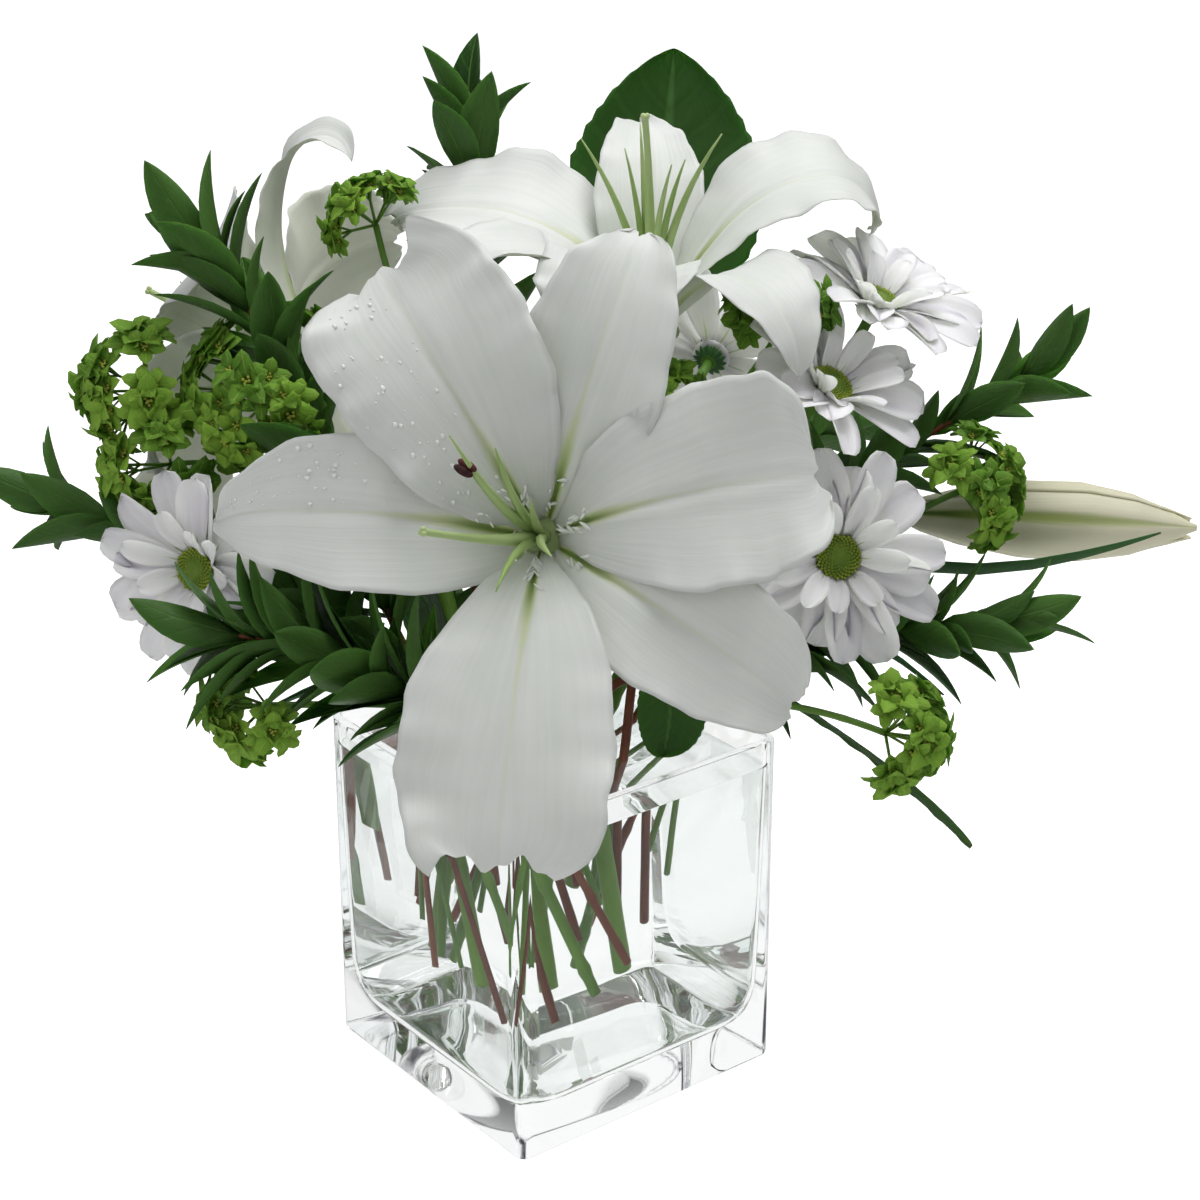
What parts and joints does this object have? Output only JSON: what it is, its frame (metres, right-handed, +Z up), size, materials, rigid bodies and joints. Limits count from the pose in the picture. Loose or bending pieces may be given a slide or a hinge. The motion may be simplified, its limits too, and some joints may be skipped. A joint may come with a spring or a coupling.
{
  "type": "lilies in a vase",
  "caption": "Square clear-glass vase of water with white lilies and a bud, white daisies, green umbels, dark leafy sprays and broad leaves, in a low round bouquet.",
  "frame": {"origin": "centre of the vase's flat base", "axes": "+Z up; the vase's sides face plus and minus X and Y, and the bouquet's front faces between -X and -Y, 52 degrees round from -X towards -Y"},
  "size_m": [0.3772, 0.3347, 0.3454],
  "materials": {
    "vase_glass": "polished",
    "vase_water": "gloss",
    "petal_white": "matte",
    "bud_cream": "matte",
    "stamen_green": "matte",
    "anther_red": "matte",
    "stem_green": "satin",
    "disc_yellow_green": "matte",
    "leaf_dark_green": "satin",
    "leaf_green": "satin",
    "umbel_lime": "matte"
  },
  "bodies": {
    "root": {"vase": "vase_glass", "water": "vase_water", "lily_front_petals": "petal_white", "lily_back_petals": "petal_white", "lily_left_petals": "petal_white", "lily_front_stamens": "stamen_green", "lily_back_stamens": "stamen_green", "lily_left_stamens": "stamen_green", "lily_front_anther": "anther_red", "lily_front_stem": "stem_green", "lily_back_stem": "stem_green", "lily_left_stem": "stem_green", "lily_bud_stem": "stem_green", "lily_bud": "bud_cream", "daisy_low_right": "petal_white", "daisy_mid_right": "petal_white", "daisy_top_right": "petal_white", "daisy_left": "petal_white", "daisy_back": "petal_white", "daisy_back_left": "petal_white", "daisy_low_right_disc": "disc_yellow_green", "daisy_mid_right_disc": "disc_yellow_green", "daisy_top_right_disc": "disc_yellow_green", "daisy_left_disc": "disc_yellow_green", "daisy_back_disc": "disc_yellow_green", "daisy_back_left_disc": "disc_yellow_green", "daisy_stem_right": "stem_green", "daisy_stem_left": "stem_green", "daisy_stem_back": "stem_green", "broad_leaf_top": "leaf_dark_green", "broad_leaf_low_right": "leaf_dark_green", "broad_leaf_low_left": "leaf_dark_green", "broad_leaf_front": "leaf_dark_green", "broad_leaf_back": "leaf_dark_green", "spray_top": "leaf_green", "spray_upper_left": "leaf_green", "spray_left": "leaf_green", "spray_low_left": "leaf_green", "spray_right": "leaf_green", "spray_low_right": "leaf_green", "spray_back": "leaf_green", "spray_back_left": "leaf_green", "umbel_left": "umbel_lime", "umbel_low_left": "umbel_lime", "umbel_top": "umbel_lime", "umbel_centre": "umbel_lime", "umbel_right": "umbel_lime", "umbel_low_right": "umbel_lime", "umbel_back": "umbel_lime"}
  },
  "joints": []
}
